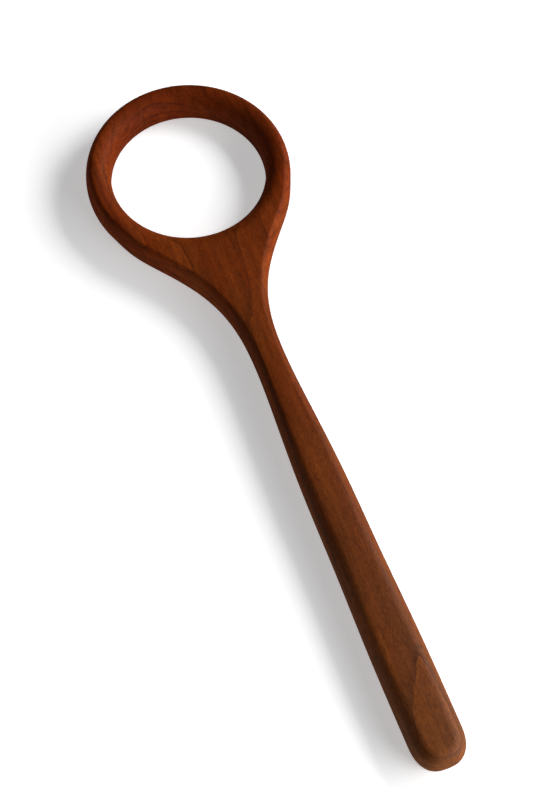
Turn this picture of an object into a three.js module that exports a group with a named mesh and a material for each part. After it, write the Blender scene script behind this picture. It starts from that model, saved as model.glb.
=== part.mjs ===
// A wooden stirring spoon with an open eye, carved from one hardwood board: a barrel-sided ring, a narrow
// neck and a long handle with a blunt rounded end. It is one piece of wood, so it is one mesh.
// Millimetres. +X runs from the ring to the handle's tip, +Z is up, the flat back lies on z = 0, and the
// spoon is centred in X and Y. The plan is worked out from the ring's centre and moved at the end.
import * as THREE from "three";

// ---------- driving dimensions ----------
const LENGTH = 300; // ring's far edge to handle tip
const THICKNESS = 12.5; // the board
const EYE_RADIUS = 30.3; // the round hole through the ring
const RING_WIDTH = 9.7; // the wood round the eye
const NECK_WIDTH = 12.3; // narrowest place of the handle
const NECK_REACH = 48; // neck's distance beyond the ring's outer circle
const HANDLE_WIDTH = 20.2; // widest place, near the tip
const FLARE_REACH = 0.37; // the outline leaves the ring's circle this far past its centre, in ring radii
const CAP_LENGTH = 13; // how far the tip's rounding runs back along the handle
const CAP_SQUARENESS = 2.55; // 2 would be an ellipse, more is blunter
const RING_EDGE = 3; // how far the barrel-shaped side leans in at the ring's crest
const HANDLE_EDGE = 5.2; // the same on the handle, where the edge is rounder
const EDGE_GROWS = [-0.08, 0.6]; // where it grows, as shares of the way from neck to tip
const SIDE_SQUARENESS = 2.1; // section of the side: 2 is an ellipse
const ROLL_DEPTH = 6; // how far the top face rolls down into the eye
const ROLL_POWER = 2; // how late it rolls: 2 makes it a quarter of an ellipse
const BACK_ROUND = [1.0, 1.4]; // small rounding of the eye's back edge: outwards, upwards
const CROWN = 0.7; // the handle's top is this much higher in the middle than at its sides

// Shoulder between ring and neck: distance from the ring's centre and half-width, in ring radii.
const SHOULDER = [
  [0.65, 0.805],
  [0.95, 0.585],
  [1.3, 0.349],
  [1.7, 0.2],
];
// Handle: share of the way from neck to tip, and share of the way from neck width to handle width.
const SWELL = [
  [0, 0],
  [0.157, 0.28],
  [0.32, 0.632],
  [0.517, 0.772],
  [0.709, 0.962],
  [0.884, 1],
];

// ---------- how finely each stretch is divided ----------
const ARC_STEPS = 26; // half of the ring's true circle
const FLARE_STEPS = 6; // where the outline leaves the circle, up to the corner of the shoulder
const SIDE_STEPS = 36; // shoulder to cap, one side
const CORNER_STEPS = 4; // first half of the cap's quarter
const ACROSS_STEPS = 14; // across the handle's top
const WALL_STEPS = 10; // down the barrel-shaped side
const ROLL_STEPS = 8; // from the crest into the eye
const BACK_STEPS = 3; // the eye's back edge
const BUNCHING = 1.15; // over 1 sets the side's stations closer together at the shoulder
const CORNER_REACH = 0.82; // shoulder corner: distance from the ring's centre, in ring radii

// ---------- values that follow ----------
const RING_RADIUS = EYE_RADIUS + RING_WIDTH;
const TIP = LENGTH - RING_RADIUS;
const NECK = RING_RADIUS + NECK_REACH;
const CAP_START = TIP - CAP_LENGTH;
const FLARE_START = FLARE_REACH * RING_RADIUS;
const ROLL_WIDTH = RING_WIDTH - RING_EDGE;
const MIDDLE = THICKNESS / 2;

const smooth = (t) => THREE.MathUtils.smoothstep(t, 0, 1);
const share = (i, count) => i / count;

// Cubic spline through the knots, with a set slope at its start and no bend at its end.
function spline(knots, startSlope) {
  const n = knots.length;
  const gap = (i) => knots[i + 1][0] - knots[i][0];
  const rise = (i) => (knots[i + 1][1] - knots[i][1]) / gap(i);
  const diagonal = [2 * gap(0)];
  const load = [6 * (rise(0) - startSlope)];
  for (let i = 1; i < n - 1; i++) {
    const ratio = gap(i - 1) / diagonal[i - 1];
    diagonal[i] = 2 * (gap(i - 1) + gap(i)) - ratio * gap(i - 1);
    load[i] = 6 * (rise(i) - rise(i - 1)) - ratio * load[i - 1];
  }
  const bend = new Array(n).fill(0);
  for (let i = n - 2; i >= 0; i--)
    bend[i] = (load[i] - gap(i) * bend[i + 1]) / diagonal[i];
  return (x) => {
    let i = 0;
    while (i < n - 2 && x > knots[i + 1][0]) i++;
    const h = gap(i);
    const a = knots[i + 1][0] - x;
    const b = x - knots[i][0];
    const curved = (bend[i] * a ** 3 + bend[i + 1] * b ** 3) / (6 * h);
    const left = (knots[i][1] / h - (bend[i] * h) / 6) * a;
    const right = (knots[i + 1][1] / h - (bend[i + 1] * h) / 6) * b;
    return curved + left + right;
  };
}

// ---------- plan: half-width against the distance from the ring's centre ----------
const flareY = Math.sqrt(RING_RADIUS ** 2 - FLARE_START ** 2);
const halfWidthKnots = [
  [FLARE_START, flareY],
  ...SHOULDER.map(([x, y]) => [x * RING_RADIUS, y * RING_RADIUS]),
  ...SWELL.map(([way, growth]) => [
    NECK + way * (TIP - NECK),
    (NECK_WIDTH + growth * (HANDLE_WIDTH - NECK_WIDTH)) / 2,
  ]),
];
const halfWidth = spline(halfWidthKnots, -FLARE_START / flareY);

// The +Y half of the outline as one path: q 0 to 1 follows the circle, 1 to 2 the shoulder and handle,
// 2 to 3 the cap.
function edge(q) {
  if (q <= 1) {
    const flareAngle = Math.acos(FLARE_START / RING_RADIUS);
    const angle = Math.PI + (flareAngle - Math.PI) * q;
    return [RING_RADIUS * Math.cos(angle), RING_RADIUS * Math.sin(angle)];
  }
  if (q <= 2) {
    const x = FLARE_START + (CAP_START - FLARE_START) * (q - 1);
    return [x, halfWidth(x)];
  }
  const turn = (Math.min(q - 2, 1) * Math.PI) / 2;
  const x = CAP_START + CAP_LENGTH * Math.sin(turn) ** (2 / CAP_SQUARENESS);
  return [x, halfWidth(x) * Math.max(Math.cos(turn), 0) ** (2 / CAP_SQUARENESS)];
}

// Outward unit normal of the outline, from two points close on either side.
function edgeNormal(q) {
  if (q <= 0) return [-1, 0];
  if (q >= 3) return [1, 0];
  const step = 1e-4;
  const [x0, y0] = edge(q - step);
  const [x1, y1] = edge(q + step);
  const length = Math.hypot(x1 - x0, y1 - y0);
  return [(y0 - y1) / length, (x1 - x0) / length];
}

// The side leans in further on the handle than on the ring.
function lean(x) {
  const way = (x - NECK) / (TIP - NECK);
  const [start, end] = EDGE_GROWS;
  return RING_EDGE + (HANDLE_EDGE - RING_EDGE) * smooth((way - start) / (end - start));
}

// Height of the top face: it rolls down into the eye, and is crowned along the handle.
function topHeight(x, y) {
  const toEye = THREE.MathUtils.clamp(1 - (Math.hypot(x, y) - EYE_RADIUS) / ROLL_WIDTH, 0, 1);
  const roll = ROLL_DEPTH * (1 - Math.sqrt(1 - toEye ** ROLL_POWER));
  if (x <= FLARE_START) return THICKNESS - roll;
  const across = y / halfWidth(x);
  const crown = CROWN * smooth((x - RING_RADIUS) / NECK_REACH) * across * across;
  return THICKNESS - roll - crown;
}

// ---------- vertices and faces ----------
const points = [];
const faces = [];
const addPoint = (x, y, z) => points.push(new THREE.Vector3(x, y, z)) - 1;
const addQuad = (a, b, c, d) => faces.push(a, b, c, a, c, d);

// Joins two closed loops of equal length. Both run anticlockwise seen from above, and `inner` lies to
// the left of `outer` seen from outside the wood.
function joinLoops(outer, inner) {
  outer.forEach((from, i) => {
    const next = (i + 1) % outer.length;
    addQuad(from, outer[next], inner[next], inner[i]);
  });
}

// Stations of the outline from the shoulder's corner round the ring, then along the handle.
const cornerQ = 1 + (CORNER_REACH * RING_RADIUS - FLARE_START) / (CAP_START - FLARE_START);
function outlineStations() {
  const ring = [];
  for (let i = FLARE_STEPS; i > 0; i--) ring.push(1 + (cornerQ - 1) * share(i, FLARE_STEPS));
  for (let i = ARC_STEPS; i >= 0; i--) ring.push(share(i, ARC_STEPS));
  const side = [];
  for (let i = 1; i <= SIDE_STEPS; i++)
    side.push(cornerQ + (2 - cornerQ) * share(i, SIDE_STEPS) ** BUNCHING);
  for (let i = 1; i <= CORNER_STEPS; i++) side.push(2 + 0.5 * share(i, CORNER_STEPS));
  const tip = [];
  for (let i = 1; i <= ACROSS_STEPS / 2; i++) tip.push(2.5 + 0.5 * share(i, ACROSS_STEPS / 2));
  const onSide = (list, sign) => list.map((q) => ({ q, sign }));
  return {
    ringCount: 2 * ring.length - 1,
    sideCount: side.length,
    stations: [
      ...onSide(ring, 1),
      ...onSide(ring.slice(0, -1).reverse(), -1),
      ...onSide(side, -1),
      ...onSide(tip, -1),
      ...onSide(tip.slice(0, -1).reverse(), 1),
      ...onSide([...side].reverse(), 1),
    ],
  };
}
const { ringCount, sideCount, stations } = outlineStations();

// One closed loop round the spoon's side. Angle 90 is the top crest, 0 the widest line, -90 the back.
function sideLoop(degrees) {
  const turn = THREE.MathUtils.degToRad(degrees);
  const rise = Math.sign(turn) * Math.abs(Math.sin(turn)) ** (2 / SIDE_SQUARENESS);
  const reach = Math.abs(Math.cos(turn)) ** (2 / SIDE_SQUARENESS);
  return stations.map(({ q, sign }) => {
    const [x, y] = edge(q);
    const [nx, ny] = edgeNormal(q);
    const inset = lean(x) * (1 - reach);
    const px = x - nx * inset;
    const py = sign * (y - ny * inset);
    const above = rise > 0 ? topHeight(px, py) - MIDDLE : MIDDLE;
    return addPoint(px, py, MIDDLE + rise * above);
  });
}
const sideLoops = [];
for (let k = 0; k <= WALL_STEPS; k++) sideLoops.push(sideLoop(-90 + (180 * k) / WALL_STEPS));
for (let k = 0; k < WALL_STEPS; k++) joinLoops(sideLoops[k], sideLoops[k + 1]);
const back = sideLoops[0];
const crest = sideLoops[WALL_STEPS];

// Columns round the eye: one under each crest point of the ring, then an arc that faces the handle.
const cornerPoint = points[crest[0]];
const cornerAngle = Math.atan2(cornerPoint.y, cornerPoint.x);
const columns = [];
for (let i = 0; i < ringCount; i++) {
  const { x, y } = points[crest[i]];
  columns.push({ angle: Math.atan2(y, x), outer: Math.hypot(x, y), vertex: crest[i] });
}
for (let j = 1; j < ACROSS_STEPS; j++) {
  const angle = cornerAngle * (2 * share(j, ACROSS_STEPS) - 1);
  columns.push({ angle, outer: Math.hypot(cornerPoint.x, cornerPoint.y), vertex: null });
}

// A loop on the top face, `way` of the distance from the eye's wall to the crest.
function topLoop(way) {
  return columns.map(({ angle, outer, vertex }) => {
    if (way === 1 && vertex !== null) return vertex;
    const r = EYE_RADIUS + way * (outer - EYE_RADIUS);
    const x = r * Math.cos(angle);
    const y = r * Math.sin(angle);
    return addPoint(x, y, topHeight(x, y));
  });
}
// A loop on the eye's wall.
const eyeLoop = (r, z) =>
  columns.map(({ angle }) => addPoint(r * Math.cos(angle), r * Math.sin(angle), z));

// From the crest, down over the roll, down the wall and round its back edge.
const eyeLoops = [];
for (let k = ROLL_STEPS; k >= 0; k--) {
  const turn = (Math.PI / 2) * (1 - k / ROLL_STEPS);
  eyeLoops.push(topLoop(1 - Math.sin(turn) ** (2 / ROLL_POWER)));
}
const [backOut, backUp] = BACK_ROUND;
for (let k = 0; k <= BACK_STEPS; k++) {
  const turn = (Math.PI / 2) * share(k, BACK_STEPS);
  eyeLoops.push(eyeLoop(EYE_RADIUS + backOut * (1 - Math.cos(turn)), backUp * (1 - Math.sin(turn))));
}
for (let k = 0; k < eyeLoops.length - 1; k++) joinLoops(eyeLoops[k], eyeLoops[k + 1]);

// Top of the shoulder and handle: rows across, that start on the arc round the eye and end on the cap.
function handleRows() {
  const first = [];
  for (let j = 0; j <= ACROSS_STEPS; j++) first.push(eyeLoops[0][(ringCount - 1 + j) % columns.length]);
  const last = [];
  for (let j = 0; j <= ACROSS_STEPS; j++) last.push(crest[ringCount - 1 + sideCount + j]);
  const rows = [first];
  const bulge = (row, j) => {
    const end = points[row[0]];
    return (points[row[j]].x - end.x) / end.y;
  };
  const spread = (row, j) => points[row[j]].y / points[row[ACROSS_STEPS]].y;
  for (let i = 1; i < sideCount; i++) {
    const low = crest[ringCount - 1 + i];
    const high = crest[crest.length - i];
    const { x, y } = points[high];
    const nearEye = 1 - smooth((x - cornerPoint.x) / (NECK - cornerPoint.x));
    const nearTip = smooth((x - CAP_START + HANDLE_WIDTH) / (HANDLE_WIDTH + CAP_LENGTH));
    const row = [low];
    for (let j = 1; j < ACROSS_STEPS; j++) {
      const even = 2 * share(j, ACROSS_STEPS) - 1;
      const px = x - y * (nearEye * bulge(first, j) + nearTip * bulge(last, j));
      const py =
        y * (even + nearEye * (spread(first, j) - even) + nearTip * (spread(last, j) - even));
      row.push(addPoint(px, py, topHeight(px, py)));
    }
    row.push(high);
    rows.push(row);
  }
  rows.push(last);
  return rows;
}
const rows = handleRows();
for (let i = 0; i < rows.length - 1; i++)
  for (let j = 0; j < ACROSS_STEPS; j++)
    addQuad(rows[i][j], rows[i + 1][j], rows[i + 1][j + 1], rows[i][j + 1]);

// The flat back, facing down: quads round the ring, a fan from the eye to the first pair of side points,
// one quad per step along the handle, and strips across the cap.
function addBack() {
  const eye = eyeLoops[eyeLoops.length - 1];
  for (let i = 0; i < ringCount - 1; i++) addQuad(back[i], eye[i], eye[i + 1], back[i + 1]);
  const low = (i) => back[ringCount - 1 + i];
  const high = (i) => back[(back.length - i) % back.length];
  const arc = (j) => eye[(ringCount - 1 + j) % eye.length];
  faces.push(low(0), arc(0), low(1));
  for (let j = 0; j < ACROSS_STEPS; j++)
    faces.push(arc(j), arc(j + 1), j < ACROSS_STEPS / 2 ? low(1) : high(1));
  faces.push(low(1), arc(ACROSS_STEPS / 2), high(1));
  faces.push(arc(ACROSS_STEPS), high(0), high(1));
  for (let i = 1; i < sideCount; i++) addQuad(low(i), high(i), high(i + 1), low(i + 1));
  const tip = (j) => low(sideCount + j);
  for (let j = 0; j < ACROSS_STEPS / 2 - 1; j++)
    addQuad(tip(j), tip(ACROSS_STEPS - j), tip(ACROSS_STEPS - j - 1), tip(j + 1));
  faces.push(
    tip(ACROSS_STEPS / 2 - 1),
    tip(ACROSS_STEPS / 2 + 1),
    tip(ACROSS_STEPS / 2),
  );
}
addBack();

// ---------- the mesh ----------
const ringCentre = RING_RADIUS - LENGTH / 2;
const geometry = new THREE.BufferGeometry().setFromPoints(points);
geometry.setIndex(faces);
geometry.translate(ringCentre, 0, 0);
geometry.computeVertexNormals();

const oiledHardwood = new THREE.MeshStandardMaterial({ color: 0x5e2f1a, roughness: 0.5, metalness: 0 });
const spoon = new THREE.Mesh(geometry, oiledHardwood);
spoon.name = "spoon";

const group = new THREE.Group();
group.name = "open_eye_spoon";
group.add(spoon);
export default group;
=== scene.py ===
# %% [markdown]
# # A stirring spoon with an open eye, in oiled hardwood
#
# The real spoon is one piece of wood. A maker saws its outline from a half-inch hardwood board, bores out the
# round eye, rounds every edge with a spokeshave and sandpaper, and rubs oil into the bare wood. Nothing is
# glued or fastened, so there is one piece here too. The scene first loads the spoon's CAD frame, then replaces
# its plain solid with the same shape worked out finely, and gives that shape wood that has grown in it.

# %% Load the frame
import math
import bmesh
import bpy
import numpy as np
from mathutils import Matrix, Vector


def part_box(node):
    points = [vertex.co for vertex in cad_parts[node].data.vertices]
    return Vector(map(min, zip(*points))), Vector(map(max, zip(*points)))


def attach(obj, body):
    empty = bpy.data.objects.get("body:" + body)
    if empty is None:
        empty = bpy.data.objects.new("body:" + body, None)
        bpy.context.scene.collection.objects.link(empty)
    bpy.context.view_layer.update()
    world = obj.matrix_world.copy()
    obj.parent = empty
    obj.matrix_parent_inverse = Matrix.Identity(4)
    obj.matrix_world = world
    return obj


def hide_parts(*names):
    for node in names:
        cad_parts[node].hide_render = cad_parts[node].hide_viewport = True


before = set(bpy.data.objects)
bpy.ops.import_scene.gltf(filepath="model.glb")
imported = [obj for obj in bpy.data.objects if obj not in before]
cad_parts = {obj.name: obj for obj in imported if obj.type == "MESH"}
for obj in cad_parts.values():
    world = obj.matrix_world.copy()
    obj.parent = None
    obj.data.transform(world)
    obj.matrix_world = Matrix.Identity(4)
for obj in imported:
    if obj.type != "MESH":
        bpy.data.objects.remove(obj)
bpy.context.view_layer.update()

low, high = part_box("spoon")
print("CAD box, mm:", [round(1000 * (b - a), 2) for a, b in zip(low, high)])

# %% [markdown]
# ## Sizes
#
# The frame gives the spoon's length and the board's thickness. The other sizes are those of the part's source,
# written out again here in metres. The outline's sizes count from the ring's centre, because it is easiest to
# draw from there: a circle that opens into a shoulder, a narrow neck, and a handle that swells towards its tip.

# %% Sizes
MM = 0.001
THICKNESS = high.z - low.z
EYE_RADIUS = 30.3 * MM
RING_WIDTH = 9.7 * MM
RING_RADIUS = EYE_RADIUS + RING_WIDTH
RING_CENTRE = low.x + RING_RADIUS
TIP = high.x - RING_CENTRE
NECK_WIDTH = 12.3 * MM
NECK = RING_RADIUS + 48 * MM
HANDLE_WIDTH = 20.2 * MM
CAP_LENGTH = 13 * MM
CAP_SQUARENESS = 2.55  # 2 makes the cap's outline an ellipse, more makes it squarer
RING_EDGE = 3.0 * MM  # how far the side leans in to its crest, on the ring
HANDLE_EDGE = 5.2 * MM  # and on the handle
EDGE_GROWS = (-0.08, 0.6)  # where the lean changes from one to the other: neck is 0, tip is 1
SIDE_SQUARENESS = 2.1  # 2 makes the side's section half an ellipse
ROLL_DEPTH = 6.0 * MM  # how far the top of the ring drops into the eye
ROLL_POWER = 2  # how late it drops: 2 makes it a quarter of an ellipse
BACK_ROUND = (1.0 * MM, 1.4 * MM)  # width and height of the eye's rounded back edge
CROWN = 0.7 * MM  # how much higher the handle's middle is than its crests
print("ring centre at x =", round(RING_CENTRE, 4), " tip at", round(TIP, 4), "from it")

# %% [markdown]
# ## The outline
#
# A carver draws the shoulder and handle as one fair curve through a few widths, as a batten bends through
# pins. A cubic spline does the same: it passes through every width and bends as little as it can between them.
# Its first slope is the circle's, so the shoulder leaves the ring without a corner.

# %% The outline
FLARE_START = 0.37 * RING_RADIUS
CAP_START = TIP - CAP_LENGTH
# the shoulder's places and half-widths, in ring radii
SHOULDER = np.array([(0.65, 0.805), (0.95, 0.585), (1.3, 0.349), (1.7, 0.2)]) * RING_RADIUS
# the handle's places, as shares of the way from neck to tip, and its growth from the neck's width to its own
SWELL = np.array([(0, 0), (0.157, 0.28), (0.32, 0.632), (0.517, 0.772), (0.709, 0.962), (0.884, 1)])


def fair_curve(knots, start_slope):
    """Cubic spline through the knots. The bends at the knots solve one linear system: neighbouring cubics
    share their slope, the first slope is given, and the last bend is zero. Returns a function of arrays."""
    x, y = knots.T
    gap = np.diff(x)
    rise = np.diff(y) / gap
    n = len(x)
    system = np.zeros((n, n))
    load = np.zeros(n)
    system[0, :2] = 2 * gap[0], gap[0]
    load[0] = 6 * (rise[0] - start_slope)
    inner = np.arange(1, n - 1)
    system[inner, inner - 1] = gap[:-1]
    system[inner, inner] = 2 * (gap[:-1] + gap[1:])
    system[inner, inner + 1] = gap[1:]
    load[inner] = 6 * np.diff(rise)
    system[-1, -1] = 1
    bend = np.linalg.solve(system, load)

    def curve(at):
        i = np.clip(np.searchsorted(x, at) - 1, 0, n - 2)
        h, a, b = gap[i], x[i + 1] - at, at - x[i]
        curved = (bend[i] * a**3 + bend[i + 1] * b**3) / (6 * h)
        left = (y[i] / h - bend[i] * h / 6) * a
        right = (y[i + 1] / h - bend[i + 1] * h / 6) * b
        return curved + left + right

    return curve


flare_y = math.sqrt(RING_RADIUS**2 - FLARE_START**2)
handle_knots = np.stack(
    [NECK + SWELL[:, 0] * (TIP - NECK), (NECK_WIDTH + SWELL[:, 1] * (HANDLE_WIDTH - NECK_WIDTH)) / 2],
    axis=1,
)
knots = np.vstack([[(FLARE_START, flare_y)], SHOULDER, handle_knots])
half_width = fair_curve(knots, -FLARE_START / flare_y)
print("half-width at the neck, mm:", round(float(half_width(np.array(NECK))) / MM, 2))

# %% [markdown]
# ## One path round the edge
#
# The side of the spoon is a section carried along its outline. The path's parameter q runs 0 to 1 along the
# ring's circle, 1 to 2 along shoulder and handle, and 2 to 3 round the cap, which is a quarter of a squarish
# ellipse. Only the +Y half is drawn; the other half is its mirror image.

# %% The edge path and its normal
def edge(q):
    """Point of the outline's +Y half: circle of the ring's radius, then (x, half_width(x)), then a
    superellipse quarter whose half-height follows half_width."""
    flare_angle = math.acos(FLARE_START / RING_RADIUS)
    angle = math.pi + (flare_angle - math.pi) * np.clip(q, 0, 1)
    x_handle = FLARE_START + (CAP_START - FLARE_START) * np.clip(q - 1, 0, 1)
    turn = np.clip(q - 2, 0, 1) * math.pi / 2
    power = 2 / CAP_SQUARENESS
    x_cap = CAP_START + CAP_LENGTH * np.sin(turn) ** power
    x = np.where(q <= 1, RING_RADIUS * np.cos(angle), np.where(q <= 2, x_handle, x_cap))
    y_open = half_width(np.maximum(x, FLARE_START)) * np.maximum(np.cos(turn), 0) ** power
    return x, np.where(q <= 1, RING_RADIUS * np.sin(angle), y_open)


def edge_normal(q):
    """Outward unit normal: the direction between two points close on either side, turned a quarter."""
    step = 1e-4
    x0, y0 = edge(np.clip(q - step, 0, 3))
    x1, y1 = edge(np.clip(q + step, 0, 3))
    nx, ny = y0 - y1, x1 - x0
    nx = np.where(q <= 0, -1.0, np.where(q >= 3, 1.0, nx))
    ny = np.where((q <= 0) | (q >= 3), 0.0, ny)
    length = np.hypot(nx, ny)
    return nx / length, ny / length


def smooth(t):
    """Smoothstep: 0 below 0, 1 above 1, with level ends."""
    t = np.clip(t, 0, 1)
    return t * t * (3 - 2 * t)


# %% [markdown]
# ## Heights
#
# Seen in section, the ring's side is barrel-shaped: half of a squarish ellipse that leans in to a crest. From
# the crest the top rolls down into the eye. The handle has rounder edges and a slightly crowned top, as a
# spokeshave leaves it. The back stays flat, so the spoon lies still on a table.

# %% Heights of the top and the lean of the side
def lean(x):
    """How far the side leans in from the widest line to the crest: small on the ring, larger on the handle."""
    start, end = EDGE_GROWS
    way = (x - NECK) / (TIP - NECK)
    return RING_EDGE + (HANDLE_EDGE - RING_EDGE) * smooth((way - start) / (end - start))


def top_height(x, y):
    """Board thickness, less the roll into the eye (an ellipse-like drop that starts at the crest), less the
    crown (a parabola across the handle that fades in beyond the ring)."""
    roll_width = RING_RADIUS - RING_EDGE - EYE_RADIUS
    to_eye = np.clip(1 - (np.hypot(x, y) - EYE_RADIUS) / roll_width, 0, 1)
    roll = ROLL_DEPTH * (1 - np.sqrt(1 - to_eye**ROLL_POWER))
    across = y / half_width(np.maximum(x, FLARE_START))
    crown = CROWN * smooth((x - RING_RADIUS) / (NECK - RING_RADIUS)) * across**2
    return THICKNESS - roll - crown


# %% [markdown]
# ## Stations
#
# The path is cut into stations, closer where it curves more. They start at the shoulder's corner, run round
# the ring, out along one side of the handle, round the cap and back. The ring and the handle need different
# grids, and they share the stations at the corner, so the grids join without a gap.

# %% Stations round the edge
ARC_STEPS, FLARE_STEPS, SIDE_STEPS, CAP_CORNER_STEPS, ACROSS_STEPS = 96, 22, 150, 14, 44
WALL_STEPS, ROLL_STEPS, EYE_WALL_STEPS, BACK_STEPS, BACK_RING_STEPS = 36, 26, 4, 7, 6
CORNER_PLACE = 0.82  # in ring radii, where the ring's grid ends and the handle's begins
SIDE_BUNCHING = 1.15  # 1 spaces the handle's stations evenly, more puts them closer near the shoulder
CAP_CORNER = 2.5  # the path's parameter where the handle's side stations end and the tip's begin

corner_q = 1 + (CORNER_PLACE * RING_RADIUS - FLARE_START) / (CAP_START - FLARE_START)
ring_q = np.concatenate(
    [np.linspace(corner_q, 1, FLARE_STEPS, endpoint=False), np.linspace(1, 0, ARC_STEPS + 1)]
)
side_q = np.concatenate(
    [
        corner_q + (2 - corner_q) * np.linspace(0, 1, SIDE_STEPS + 1)[1:] ** SIDE_BUNCHING,
        np.linspace(2, CAP_CORNER, CAP_CORNER_STEPS + 1)[1:],
    ]
)
tip_q = np.linspace(CAP_CORNER, 3, ACROSS_STEPS // 2 + 1)[1:]
stations = np.concatenate([ring_q, ring_q[-2::-1], side_q, tip_q, tip_q[-2::-1], side_q[::-1]])
signs = np.concatenate(
    [
        np.ones(len(ring_q)),
        -np.ones(len(ring_q) - 1 + len(side_q) + len(tip_q)),
        np.ones(len(tip_q) - 1 + len(side_q)),
    ]
)
RING_COUNT = 2 * len(ring_q) - 1
SIDE_COUNT = len(side_q)
print(len(stations), "stations round the edge,", RING_COUNT, "of them on the ring")

# %% [markdown]
# ## The surfaces
#
# Every surface of the spoon is a grid: a function of two parameters, worked out as whole arrays. There are
# five: the side, the eye with the top of the ring, the top of the handle, and the two parts of the flat back.
# Neighbouring grids share their edge points exactly, and they are welded into one closed skin afterwards.

# %% The side
def side_grid():
    """Rows down the side, columns round the edge. A row is the outline moved inwards by lean times
    (1 - cos(turn)^(2/n)), at height middle + sin(turn)^(2/n) times the half-thickness there."""
    turn = np.radians(np.linspace(-90, 90, WALL_STEPS + 1))[:, None]
    rise = np.sign(turn) * np.abs(np.sin(turn)) ** (2 / SIDE_SQUARENESS)
    reach = np.abs(np.cos(turn)) ** (2 / SIDE_SQUARENESS)
    reach[[0, -1]] = 0
    x, y = edge(stations)
    nx, ny = edge_normal(stations)
    inset = lean(x) * (1 - reach)
    px = x - nx * inset
    py = signs * (y - ny * inset)
    middle = THICKNESS / 2
    above = np.where(rise > 0, top_height(px, py) - middle, middle)
    return np.stack([px, py, middle + rise * above], axis=-1)


side = side_grid()
crest = side[-1]
print("side grid", side.shape[:2])


# %% The eye and the top of the ring
def eye_columns():
    """Angle and outer radius of each column: under every crest point of the ring, then along an arc that
    faces the handle and joins the two shoulder corners."""
    ring = crest[:RING_COUNT]
    corner_angle = math.atan2(crest[0, 1], crest[0, 0])
    facing = corner_angle * np.linspace(-1, 1, ACROSS_STEPS + 1)[1:-1]
    angle = np.concatenate([np.arctan2(ring[:, 1], ring[:, 0]), facing])
    outer = np.concatenate(
        [np.hypot(ring[:, 0], ring[:, 1]), np.full(len(facing), np.hypot(*crest[0, :2]))]
    )
    return angle, outer


def eye_grid(angle, outer):
    """Rows from the crest into the eye: first the rolled top, whose rows bunch where it steepens, then the
    wall, then a quarter ellipse round the back edge."""
    turn = np.linspace(0, math.pi / 2, ROLL_STEPS + 1)[:, None]
    radius = EYE_RADIUS + (1 - np.sin(turn) ** (2 / ROLL_POWER)) * (outer - EYE_RADIUS)
    x, y = radius * np.cos(angle), radius * np.sin(angle)
    rolled = np.stack([x, y, top_height(x, y)], axis=-1)
    out, up = BACK_ROUND
    turn = np.linspace(0, math.pi / 2, BACK_STEPS + 1)[:, None]
    wall_z = np.linspace(THICKNESS - ROLL_DEPTH, up, EYE_WALL_STEPS + 1)[1:-1, None]
    radius = np.vstack([np.full_like(wall_z, EYE_RADIUS), EYE_RADIUS + out * (1 - np.cos(turn))])
    z = np.vstack([wall_z, up * (1 - np.sin(turn))]) + 0 * angle
    walls = np.stack([radius * np.cos(angle), radius * np.sin(angle), z], axis=-1)
    return np.concatenate([rolled, walls])


angle, outer = eye_columns()
eye = eye_grid(angle, outer)
print("eye grid", eye.shape[:2])


# %% The top of the shoulder and handle
def handle_grid():
    """Rows across the handle, from the arc round the eye to the cap's end. Between them each row is straight
    and ends on the crest; near the ends it takes up the shape of the arc or the cap."""
    first = np.roll(eye[0], 1 - RING_COUNT, axis=0)[: ACROSS_STEPS + 1]
    last = crest[RING_COUNT - 1 + SIDE_COUNT :][: ACROSS_STEPS + 1]
    side_row = np.vstack([crest[:1], crest[:-SIDE_COUNT:-1], crest[-SIDE_COUNT][None]])
    x, y = side_row[:, 0:1], side_row[:, 1:2]
    even = np.linspace(-1, 1, ACROSS_STEPS + 1)
    near_eye = 1 - smooth((x - x[0]) / (NECK - x[0]))
    near_tip = smooth((x - CAP_START + HANDLE_WIDTH) / (HANDLE_WIDTH + CAP_LENGTH - HANDLE_EDGE))

    def bulge(row):
        return (row[:, 0] - row[0, 0]) / row[-1, 1]

    def spread(row):
        return row[:, 1] / row[-1, 1] - even

    px = x + y * (near_eye * bulge(first) + near_tip * bulge(last))
    py = y * (even + near_eye * spread(first) + near_tip * spread(last))
    rows = np.stack([px, py, top_height(px, py)], axis=-1)
    rows[0], rows[-1] = first, last
    low_side = crest[RING_COUNT - 1 :][: SIDE_COUNT + 1]
    rows[:, 0], rows[:, -1] = low_side, side_row
    return rows


top = handle_grid()
print("handle grid", top.shape[:2])


# %% The flat back
def back_ring_grid():
    """Rows on the table plane from the eye's back edge out to the foot of the side."""
    way = np.linspace(0, 1, BACK_RING_STEPS + 1)[:, None]
    start = EYE_RADIUS + BACK_ROUND[0]
    radius = start + way * (outer - start)
    return np.stack([radius * np.cos(angle), radius * np.sin(angle), 0 * radius], axis=-1)


back_ring = back_ring_grid()
back_handle = top * (1, 1, 0)
print("back grids", back_ring.shape[:2], back_handle.shape[:2])


# %% [markdown]
# ## One closed skin
#
# The grids are put side by side in one mesh. Points that two grids share are then welded, and the faces are
# turned to point out of the wood. A closed skin is what a solid thing has, and the print below confirms it.

# %% Join the grids
def grid_quads(rows, columns, closed, start):
    """Vertex numbers of each quad of a grid, as an array of shape (n, 4)."""
    r = np.arange(rows - 1)[:, None]
    c = np.arange(columns if closed else columns - 1)
    here, beside = r * columns + c, r * columns + (c + 1) % columns
    return start + np.stack([here, beside, beside + columns, here + columns], axis=-1).reshape(-1, 4)


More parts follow.
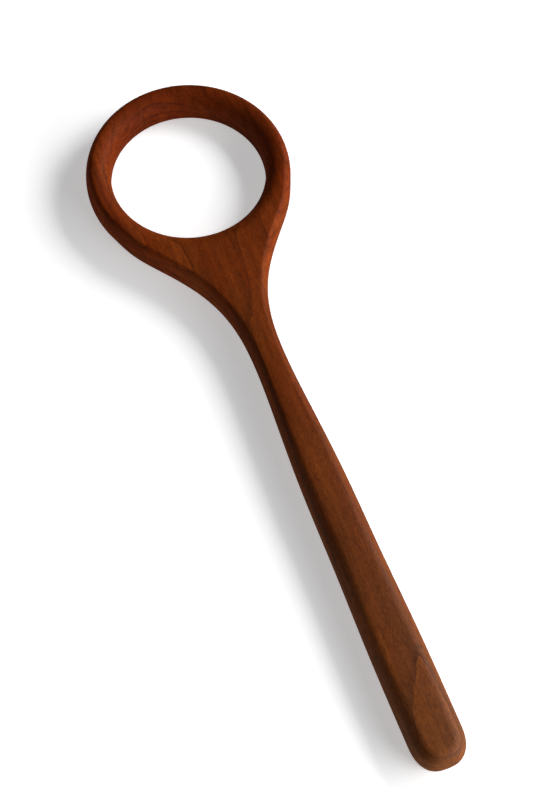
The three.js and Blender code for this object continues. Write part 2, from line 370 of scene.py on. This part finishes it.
def closed_skin(name, grids):
    """One mesh object from (points, closed) grids, welded where they share points."""
    points, quads, count = [], [], 0
    for grid, closed in grids:
        rows, columns = grid.shape[:2]
        points.append(grid.reshape(-1, 3))
        quads.append(grid_quads(rows, columns, closed, count))
        count += rows * columns
    mesh = bpy.data.meshes.new(name)
    mesh.from_pydata(np.concatenate(points).tolist(), [], np.concatenate(quads).tolist())
    work = bmesh.new()
    work.from_mesh(mesh)
    bmesh.ops.remove_doubles(work, verts=work.verts, dist=1e-7)
    bmesh.ops.recalc_face_normals(work, faces=work.faces)
    open_edges = sum(not e.is_manifold for e in work.edges)
    volume = work.calc_volume(signed=True)
    work.to_mesh(mesh)
    work.free()
    mesh.shade_smooth()
    piece = bpy.data.objects.new(name, mesh)
    bpy.context.scene.collection.objects.link(piece)
    print(name, len(mesh.polygons), "faces,", open_edges, "open edges,", round(volume * 1e6, 2), "cm3")
    return piece


place = (RING_CENTRE, 0, low.z)
spoon = closed_skin(
    "carved_spoon",
    [
        (side + place, True),
        (eye + place, True),
        (top + place, False),
        (back_ring + place, True),
        (back_handle + place, False),
    ],
)
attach(spoon, "root")
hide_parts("spoon")


# %% [markdown]
# ## Wood
#
# Wood isn't a coat on the surface: it fills the piece. So every pattern here is a function of the place inside
# the board, along the grain (x) and across it (y and z), and the carved shape cuts through it. A node material
# does this when it reads Object coordinates. The small class below only shortens the wiring.

# %% Helpers for node materials
class Recipe:
    """A material's node tree, with short calls for the nodes that wood needs."""

    def __init__(self, name):
        self.material = bpy.data.materials.new(name)
        self.material.use_nodes = True
        self.tree = self.material.node_tree
        self.shader = self.tree.nodes["Principled BSDF"]

    def node(self, kind, inputs=None, **settings):
        """A new node with its settings, and its inputs set to values or linked to sockets."""
        made = self.tree.nodes.new(kind)
        for key, value in settings.items():
            setattr(made, key, value)
        for key, value in (inputs or {}).items():
            if isinstance(value, bpy.types.NodeSocket):
                self.tree.links.new(value, made.inputs[key])
            else:
                made.inputs[key].default_value = value
        return made

    def math(self, operation, *values):
        """Result of one arithmetic step."""
        return self.node("ShaderNodeMath", dict(enumerate(values)), operation=operation).outputs[0]

    def place(self):
        """The place inside the piece, in metres."""
        return self.node("ShaderNodeTexCoord").outputs["Object"]

    def noise(self, cell, detail, roughness=0.5):
        """Noise, 0 to 1, whose blobs are about `cell` millimetres long, wide and high."""
        scale = [1 / (side * MM) for side in cell]
        stretched = self.node("ShaderNodeMapping", {"Vector": self.place(), "Scale": scale}).outputs[0]
        inputs = {"Vector": stretched, "Scale": 1.0, "Detail": detail, "Roughness": roughness}
        return self.node("ShaderNodeTexNoise", inputs).outputs["Fac"]

    def ramp(self, value, stops):
        """Colours or greys between (position, colour) stops."""
        made = self.node("ShaderNodeValToRGB", {"Fac": value})
        elements = made.color_ramp.elements
        while len(elements) < len(stops):
            elements.new(0.5)
        for element, (position, colour) in zip(elements, stops):
            element.position = position
            element.color = colour if isinstance(colour, tuple) else (colour, colour, colour, 1)
        return made.outputs[0]

    def mix(self, how, amount, base, over):
        """Two colours mixed in the given way. Sockets 0, 6 and 7 are the factor and the two colours."""
        inputs = {0: amount, 6: base, 7: over}
        return self.node("ShaderNodeMix", inputs, data_type="RGBA", blend_type=how).outputs[2]

    def tint(self, colour, tone, amount=1.0):
        """A colour multiplied by a tone, wholly or in part."""
        return self.mix("MULTIPLY", amount, colour, tone)

    def connect(self, socket, name):
        """Feed one of the shader's own sockets."""
        self.tree.links.new(socket, self.shader.inputs[name])

    def set(self, **values):
        """Give the shader's sockets values that are the same all over; Coat_IOR stands for Coat IOR."""
        for name, value in values.items():
            self.shader.inputs[name.replace("_", " ")].default_value = value


# %% [markdown]
# The board was sawn nearly flat to the growth rings, so they lie in it like sheets of paper, 3.6 mm apart and
# tipped by a degree or so. A sheet that comes up through the top leaves a long tongue that points to the
# handle's tip. The tongue's rim is the dark wood of the end of a year: it darkens slowly on the inside and
# stops at once on the outside. Inside the eye and on the sides the same sheets show as level lines.

# %% Growth rings
LAYER = 3.6  # mm from one dark line to the next, straight up through the board
TONGUE_TIP = 125.0  # mm, where one tongue ends on the top face
TONGUE_SPACING = 158.0  # mm back along the board to the next tongue
TONGUE_AXIS = -5.0  # mm, the tongues' middle line, a little to the -Y side of the spoon's own
TONGUE_CURVE = (0.33, -0.0009)  # how fast the rim falls back sideways, 1/mm, and its change along the board


def growth_phase(wood):
    """Count of growth rings at a place: (z - top) / layer + (x - tip + curve * (y - axis)^2) / spacing, plus
    two soft noises. Whole numbers are the dark rims, and the fraction is the time of the year."""
    in_mm = wood.node("ShaderNodeVectorMath", {0: wood.place(), "Scale": 1 / MM}, operation="SCALE").outputs[0]
    x, y, z = wood.node("ShaderNodeSeparateXYZ", {"Vector": in_mm}).outputs
    curve = wood.math("MULTIPLY_ADD", x, TONGUE_CURVE[1], TONGUE_CURVE[0])
    aside = wood.math("POWER", wood.math("ABSOLUTE", wood.math("SUBTRACT", y, TONGUE_AXIS)), 2.0)
    along = wood.math("ADD", wood.math("SUBTRACT", x, TONGUE_TIP), wood.math("MULTIPLY", curve, aside))
    height = wood.math("DIVIDE", wood.math("SUBTRACT", z, THICKNESS / MM), LAYER)
    count = wood.math("MULTIPLY_ADD", along, 1 / TONGUE_SPACING, height)
    for cell, amount in (((80, 26, 20), 0.3), ((17, 6, 8), 0.12)):
        sway = wood.math("SUBTRACT", wood.noise(cell, 2.0, 0.45), 0.5)
        count = wood.math("MULTIPLY_ADD", sway, amount, count)
    return count


# %% [markdown]
# The wood's colour is a stack of simple patterns, each multiplied onto the last. It starts as a blend of a red
# and a brown heartwood. Slow changes along the board, partly the wood's own tone and partly painted light, and
# painted shade and light across the ring come first, then the dark rims of the growth rings, then mottling at
# four sizes, from patches as long as a hand to flecks you only see close up, and the pores last. The oil is the
# shader's coat: thin, satin, and stronger where a hand has polished the handle.

# %% The oiled hardwood
RED_HEART = (0.108, 0.0142, 0.0010, 1)
BROWN_HEART = (0.106, 0.0290, 0.0040, 1)
BROWN_WANDER = 0.7  # how much the change from red to brown wanders, in spoon lengths
# how pale the board is along its length, from the ring's far side (0) to the handle's tip (1): partly the
# wood's own tone and partly painted light, which brightens the shoulder and the tip
TONE_AND_PAINTED_LIGHT_ALONG = [(0.0, 1.05), (0.13, 1.2), (0.3, 1.4), (0.39, 1.05), (0.7, 1.0), (0.88, 1.14), (1.0, 1.1)]
# how pale it is across its width, from the -Y side of the ring (0) to the +Y side (1)
# painted light and shade across the ring's width, from its -Y side (0) to its +Y side (1): painted shade
# darkens the +Y side, where the lamps light the ring strongly, and the -Y side is painted a little paler
PAINTED_SHADE_ACROSS = [(0.0, 1.05), (0.37, 1.0), (0.63, 1.0), (1.0, 0.82)]
# how dark the wood is through one year, from the spring (0) to the dark rim (1)
YEAR = [(0.0, 1.08), (0.5, 1.0), (0.84, 0.87), (0.955, 0.7), (0.985, 0.52), (1.0, 0.52)]
# mottling: size in mm, noise detail, darkest tone, palest tone
MOTTLES = (
    ((110, 18, 18), 2.0, 0.80, 1.24),
    ((26, 2.2, 2.2), 3.0, 0.78, 1.23),
    ((4.5, 1.6, 1.6), 3.0, 0.88, 1.13),
    ((1.5, 0.5, 0.5), 2.0, 0.77, 1.25),
)
PORE = (3.2, 0.24, 0.24)  # mm
FIBRE = (8, 0.4, 0.4)  # mm
OIL = [(0.25, 0.125), (0.75, 0.09)]  # weight of the coat where the wood is well rubbed and where it isn't
# how much more oil shows towards the tip, where the hand polishes it
POLISH = [(0.0, 0.5), (0.45, 0.6), (0.75, 1.1), (1.0, 1.5)]


def wood_colour(wood, along, across, pores):
    """Red to brown heartwood, darkened and paled by each pattern in turn."""
    even = wood.math("SUBTRACT", along, BROWN_WANDER / 2)
    browner = wood.math("MULTIPLY_ADD", wood.noise((45, 9, 9), 3.0), BROWN_WANDER, even)
    colour = wood.mix("MIX", browner, RED_HEART, BROWN_HEART)
    # along the board: partly the wood's own tone, partly painted light at the shoulder and the tip
    colour = wood.tint(colour, wood.ramp(along, TONE_AND_PAINTED_LIGHT_ALONG))
    # painted shade on the ring's +Y side and painted light on its -Y side, not a tone of the wood
    colour = wood.tint(colour, wood.ramp(across, PAINTED_SHADE_ACROSS))
    rims = wood.ramp(wood.math("FRACT", growth_phase(wood)), YEAR)
    clear = wood.ramp(wood.noise((60, 14, 14), 1.0), [(0.35, 0.5), (0.6, 1.0)])
    colour = wood.tint(colour, rims, clear)
    for cell, detail, dark, pale in MOTTLES:
        colour = wood.tint(colour, wood.ramp(wood.noise(cell, detail, 0.55), [(0.3, dark), (0.7, pale)]))
    return wood.tint(colour, pores, 0.8)


def oiled_hardwood():
    """Dark reddish-brown wood, sanded and oiled: redder at the ring, browner along the handle, with growth
    rings, long streaks, small flecks and short dark pores, under a thin satin film of oil."""
    wood = Recipe("oiled_hardwood")
    x, y, _ = wood.node("ShaderNodeSeparateXYZ", {"Vector": wood.place()}).outputs
    along = wood.math("MULTIPLY_ADD", x, 1 / (high.x - low.x), 0.5)
    across = wood.math("MULTIPLY_ADD", y, 1 / (high.y - low.y), 0.5)
    pores = wood.ramp(wood.noise(PORE, 1.0), [(0.3, 0.6), (0.42, 1.0)])
    wood.connect(wood_colour(wood, along, across, pores), "Base Color")

    rubbed = wood.noise((24, 2.5, 2.5), 3.0)
    wood.connect(wood.ramp(rubbed, [(0.25, 0.42), (0.75, 0.58)]), "Roughness")
    film = wood.math("MULTIPLY", wood.ramp(rubbed, OIL), pores)
    wood.connect(wood.math("MULTIPLY", film, wood.ramp(along, POLISH)), "Coat Weight")
    wood.set(Coat_Roughness=0.6, Coat_IOR=1.8, Specular_IOR_Level=0.0)

    relief = wood.math("MULTIPLY_ADD", wood.noise(FIBRE, 3.0, 0.6), 0.5, wood.math("MULTIPLY", pores, 0.5))
    bump = wood.node("ShaderNodeBump", {"Strength": 0.4, "Distance": 0.05 * MM, "Height": relief}).outputs[0]
    wood.connect(bump, "Normal")
    wood.connect(bump, "Coat Normal")
    return wood.material


spoon.data.materials.clear()
spoon.data.materials.append(oiled_hardwood())
print("wood recipe:", len(spoon.data.materials[0].node_tree.nodes), "nodes")

# %% [markdown]
# ## Table, light and camera
#
# The spoon lies on a plain white light table, like those in studios: it glows a little under the spoon, which
# keeps the shadow pale, and more further out, which keeps the whole view pale. Two soft lights make the shape
# read. Both stand low on one side, so one flank of every curve is bright and the other is left to the light
# that comes back up from the table, and from a white wall opposite.

# %% The table
TABLE_HEIGHT = low.z - 0.05 * MM
TABLE_REACH = 12.0  # m from the middle to each side
TABLE_GLOW = (0.42, 0.95)  # under the spoon, and far out
GLOW_REACH = (0.17, 0.6)  # m from the middle, where the brighter glow begins and where it is full


def pale(paint, cell, detail, tones):
    """A nearly even white between two greys, mottled at the given size in mm."""
    return paint.ramp(paint.noise(cell, detail), list(zip((0.0, 1.0), tones)))


def painted(name, mesh, paint):
    """A new object in the scene, with one material."""
    mesh.materials.append(paint.material)
    made = bpy.data.objects.new(name, mesh)
    bpy.context.scene.collection.objects.link(made)
    return made


def light_table():
    """A large flat plane with a matt white finish just under the spoon. Its glow grows from the first value to
    the second with the distance from the middle."""
    ways = ((-1, -1), (1, -1), (1, 1), (-1, 1))
    corners = [(x * TABLE_REACH, y * TABLE_REACH, TABLE_HEIGHT) for x, y in ways]
    mesh = bpy.data.meshes.new("table")
    mesh.from_pydata(corners, [], [(0, 1, 2, 3)])
    paint = Recipe("matt_white")
    paint.connect(pale(paint, (60, 60, 60), 3.0, (0.89, 0.91)), "Base Color")
    distance = paint.node("ShaderNodeVectorMath", {0: paint.place()}, operation="LENGTH").outputs["Value"]
    ends = dict(zip(("From Min", "From Max", "To Min", "To Max"), GLOW_REACH + TABLE_GLOW))
    glow = paint.node("ShaderNodeMapRange", {"Value": distance, **ends}).outputs[0]
    paint.connect(glow, "Emission Strength")
    paint.set(Emission_Color=(1, 1, 1, 1), Roughness=0.9, Specular_IOR_Level=0.0)
    table = painted("table", mesh, paint)


light_table()

# %% [markdown]
# A low view looks past the table's far edge, so a round pale wall stands there, well away from the spoon. It
# shows to the camera and gives no light, so it changes nothing about how the spoon is lit.

# %% The wall behind
WALL_RADIUS, WALL_HEIGHT = 11.5, 8.0  # m
WALL_SIDES = 96


def round_wall():
    """An upright open cylinder round the table, seen only by the camera."""
    shell = bmesh.new()
    middle = Matrix.Translation((0, 0, TABLE_HEIGHT + WALL_HEIGHT / 2))
    bmesh.ops.create_cone(
        shell,
        cap_ends=False,
        segments=WALL_SIDES,
        radius1=WALL_RADIUS,
        radius2=WALL_RADIUS,
        depth=WALL_HEIGHT,
        matrix=middle,
    )
    mesh = bpy.data.meshes.new("round_wall")
    shell.to_mesh(mesh)
    shell.free()
    paint = Recipe("pale_wall")
    paint.connect(pale(paint, (900, 900, 900), 2.0, (0.94, 0.97)), "Emission Color")
    paint.set(Emission_Strength=1.0, Base_Color=(0, 0, 0, 1))
    wall = painted("round_wall", mesh, paint)
    wall.visible_diffuse = False
    wall.visible_glossy = False
    wall.visible_shadow = False


round_wall()

# %% [markdown]
# Lights are placed the way a studio hand thinks of them: so many degrees round from the viewer's right hand,
# so many degrees above the table, and so far away. A lamp's brightness on the spoon falls with the square of
# its distance, so `strength` is the light that reaches the spoon and the watts follow from it.

# %% The lights
VIEW_AZIMUTH, VIEW_ELEVATION, VIEW_ROLL = 68.89, 61.93, -0.18
azimuth = math.radians(VIEW_AZIMUTH)
right = Vector((math.cos(azimuth), math.sin(azimuth), 0))
near = Vector((math.sin(azimuth), -math.cos(azimuth), 0))
up = Vector((0, 0, 1))
AIM = Vector((-0.0102, -0.0055, 0))  # m, the point that the camera and the lights look at


def softbox(name, round_to_near, above, distance, size, strength):
    """A rectangular area light. Its direction is turned from `right` to `near` by the first angle and raised
    by the second; its power is strength times (pi times distance) squared."""
    turned, raised = math.radians(round_to_near), math.radians(above)
    flat = math.cos(turned) * right + math.sin(turned) * near
    towards = math.cos(raised) * flat + math.sin(raised) * up
    lamp = bpy.data.lights.new(name, "AREA")
    lamp.shape = "RECTANGLE"
    lamp.size, lamp.size_y = size
    lamp.energy = strength * (math.pi * distance) ** 2
    holder = bpy.data.objects.new(name, lamp)
    holder.location = AIM + distance * towards
    holder.rotation_mode = "QUATERNION"
    holder.rotation_quaternion = towards.to_track_quat("Z", "Y")
    holder.visible_camera = False
    bpy.context.scene.collection.objects.link(holder)
    print(name, round(lamp.energy, 2), "W")


softbox("window", round_to_near=-30, above=30, distance=1.0, size=(0.6, 0.4), strength=1.3)
softbox("lamp", round_to_near=30, above=18, distance=0.45, size=(0.4, 0.25), strength=1.2)
softbox("white_wall", round_to_near=180, above=30, distance=1.0, size=(1.0, 0.5), strength=0.1)

world = bpy.data.worlds.new("room")
world.use_nodes = True
world.node_tree.nodes["Background"].inputs["Color"].default_value = (1, 1, 1, 1)
world.node_tree.nodes["Background"].inputs["Strength"].default_value = 0.02
bpy.context.scene.world = world
bpy.context.scene.view_settings.view_transform = "Standard"

# %% [markdown]
# The camera looks down at the spoon from beyond the handle's tip, with a moderately long lens, so that the
# round eye is seen as an ellipse and the handle runs down to the right.

# %% The camera
def viewpoint(distance, lens):
    """A camera at the given distance from the aim, turned by the view's azimuth, elevation and roll."""
    elevation = math.radians(VIEW_ELEVATION)
    back = math.cos(elevation) * near + math.sin(elevation) * up
    lens_data = bpy.data.cameras.new("camera")
    lens_data.lens = lens
    lens_data.sensor_width = 36
    lens_data.clip_start, lens_data.clip_end = 0.01, 30
    camera = bpy.data.objects.new("camera", lens_data)
    turn = (-back).to_track_quat("-Z", "Y").to_matrix() @ Matrix.Rotation(math.radians(-VIEW_ROLL), 3, "Z")
    camera.matrix_world = Matrix.Translation(AIM + distance * back) @ turn.to_4x4()
    bpy.context.scene.collection.objects.link(camera)
    bpy.context.scene.camera = camera
    print("camera at", [round(v, 3) for v in camera.location])


viewpoint(distance=0.899, lens=108.95)
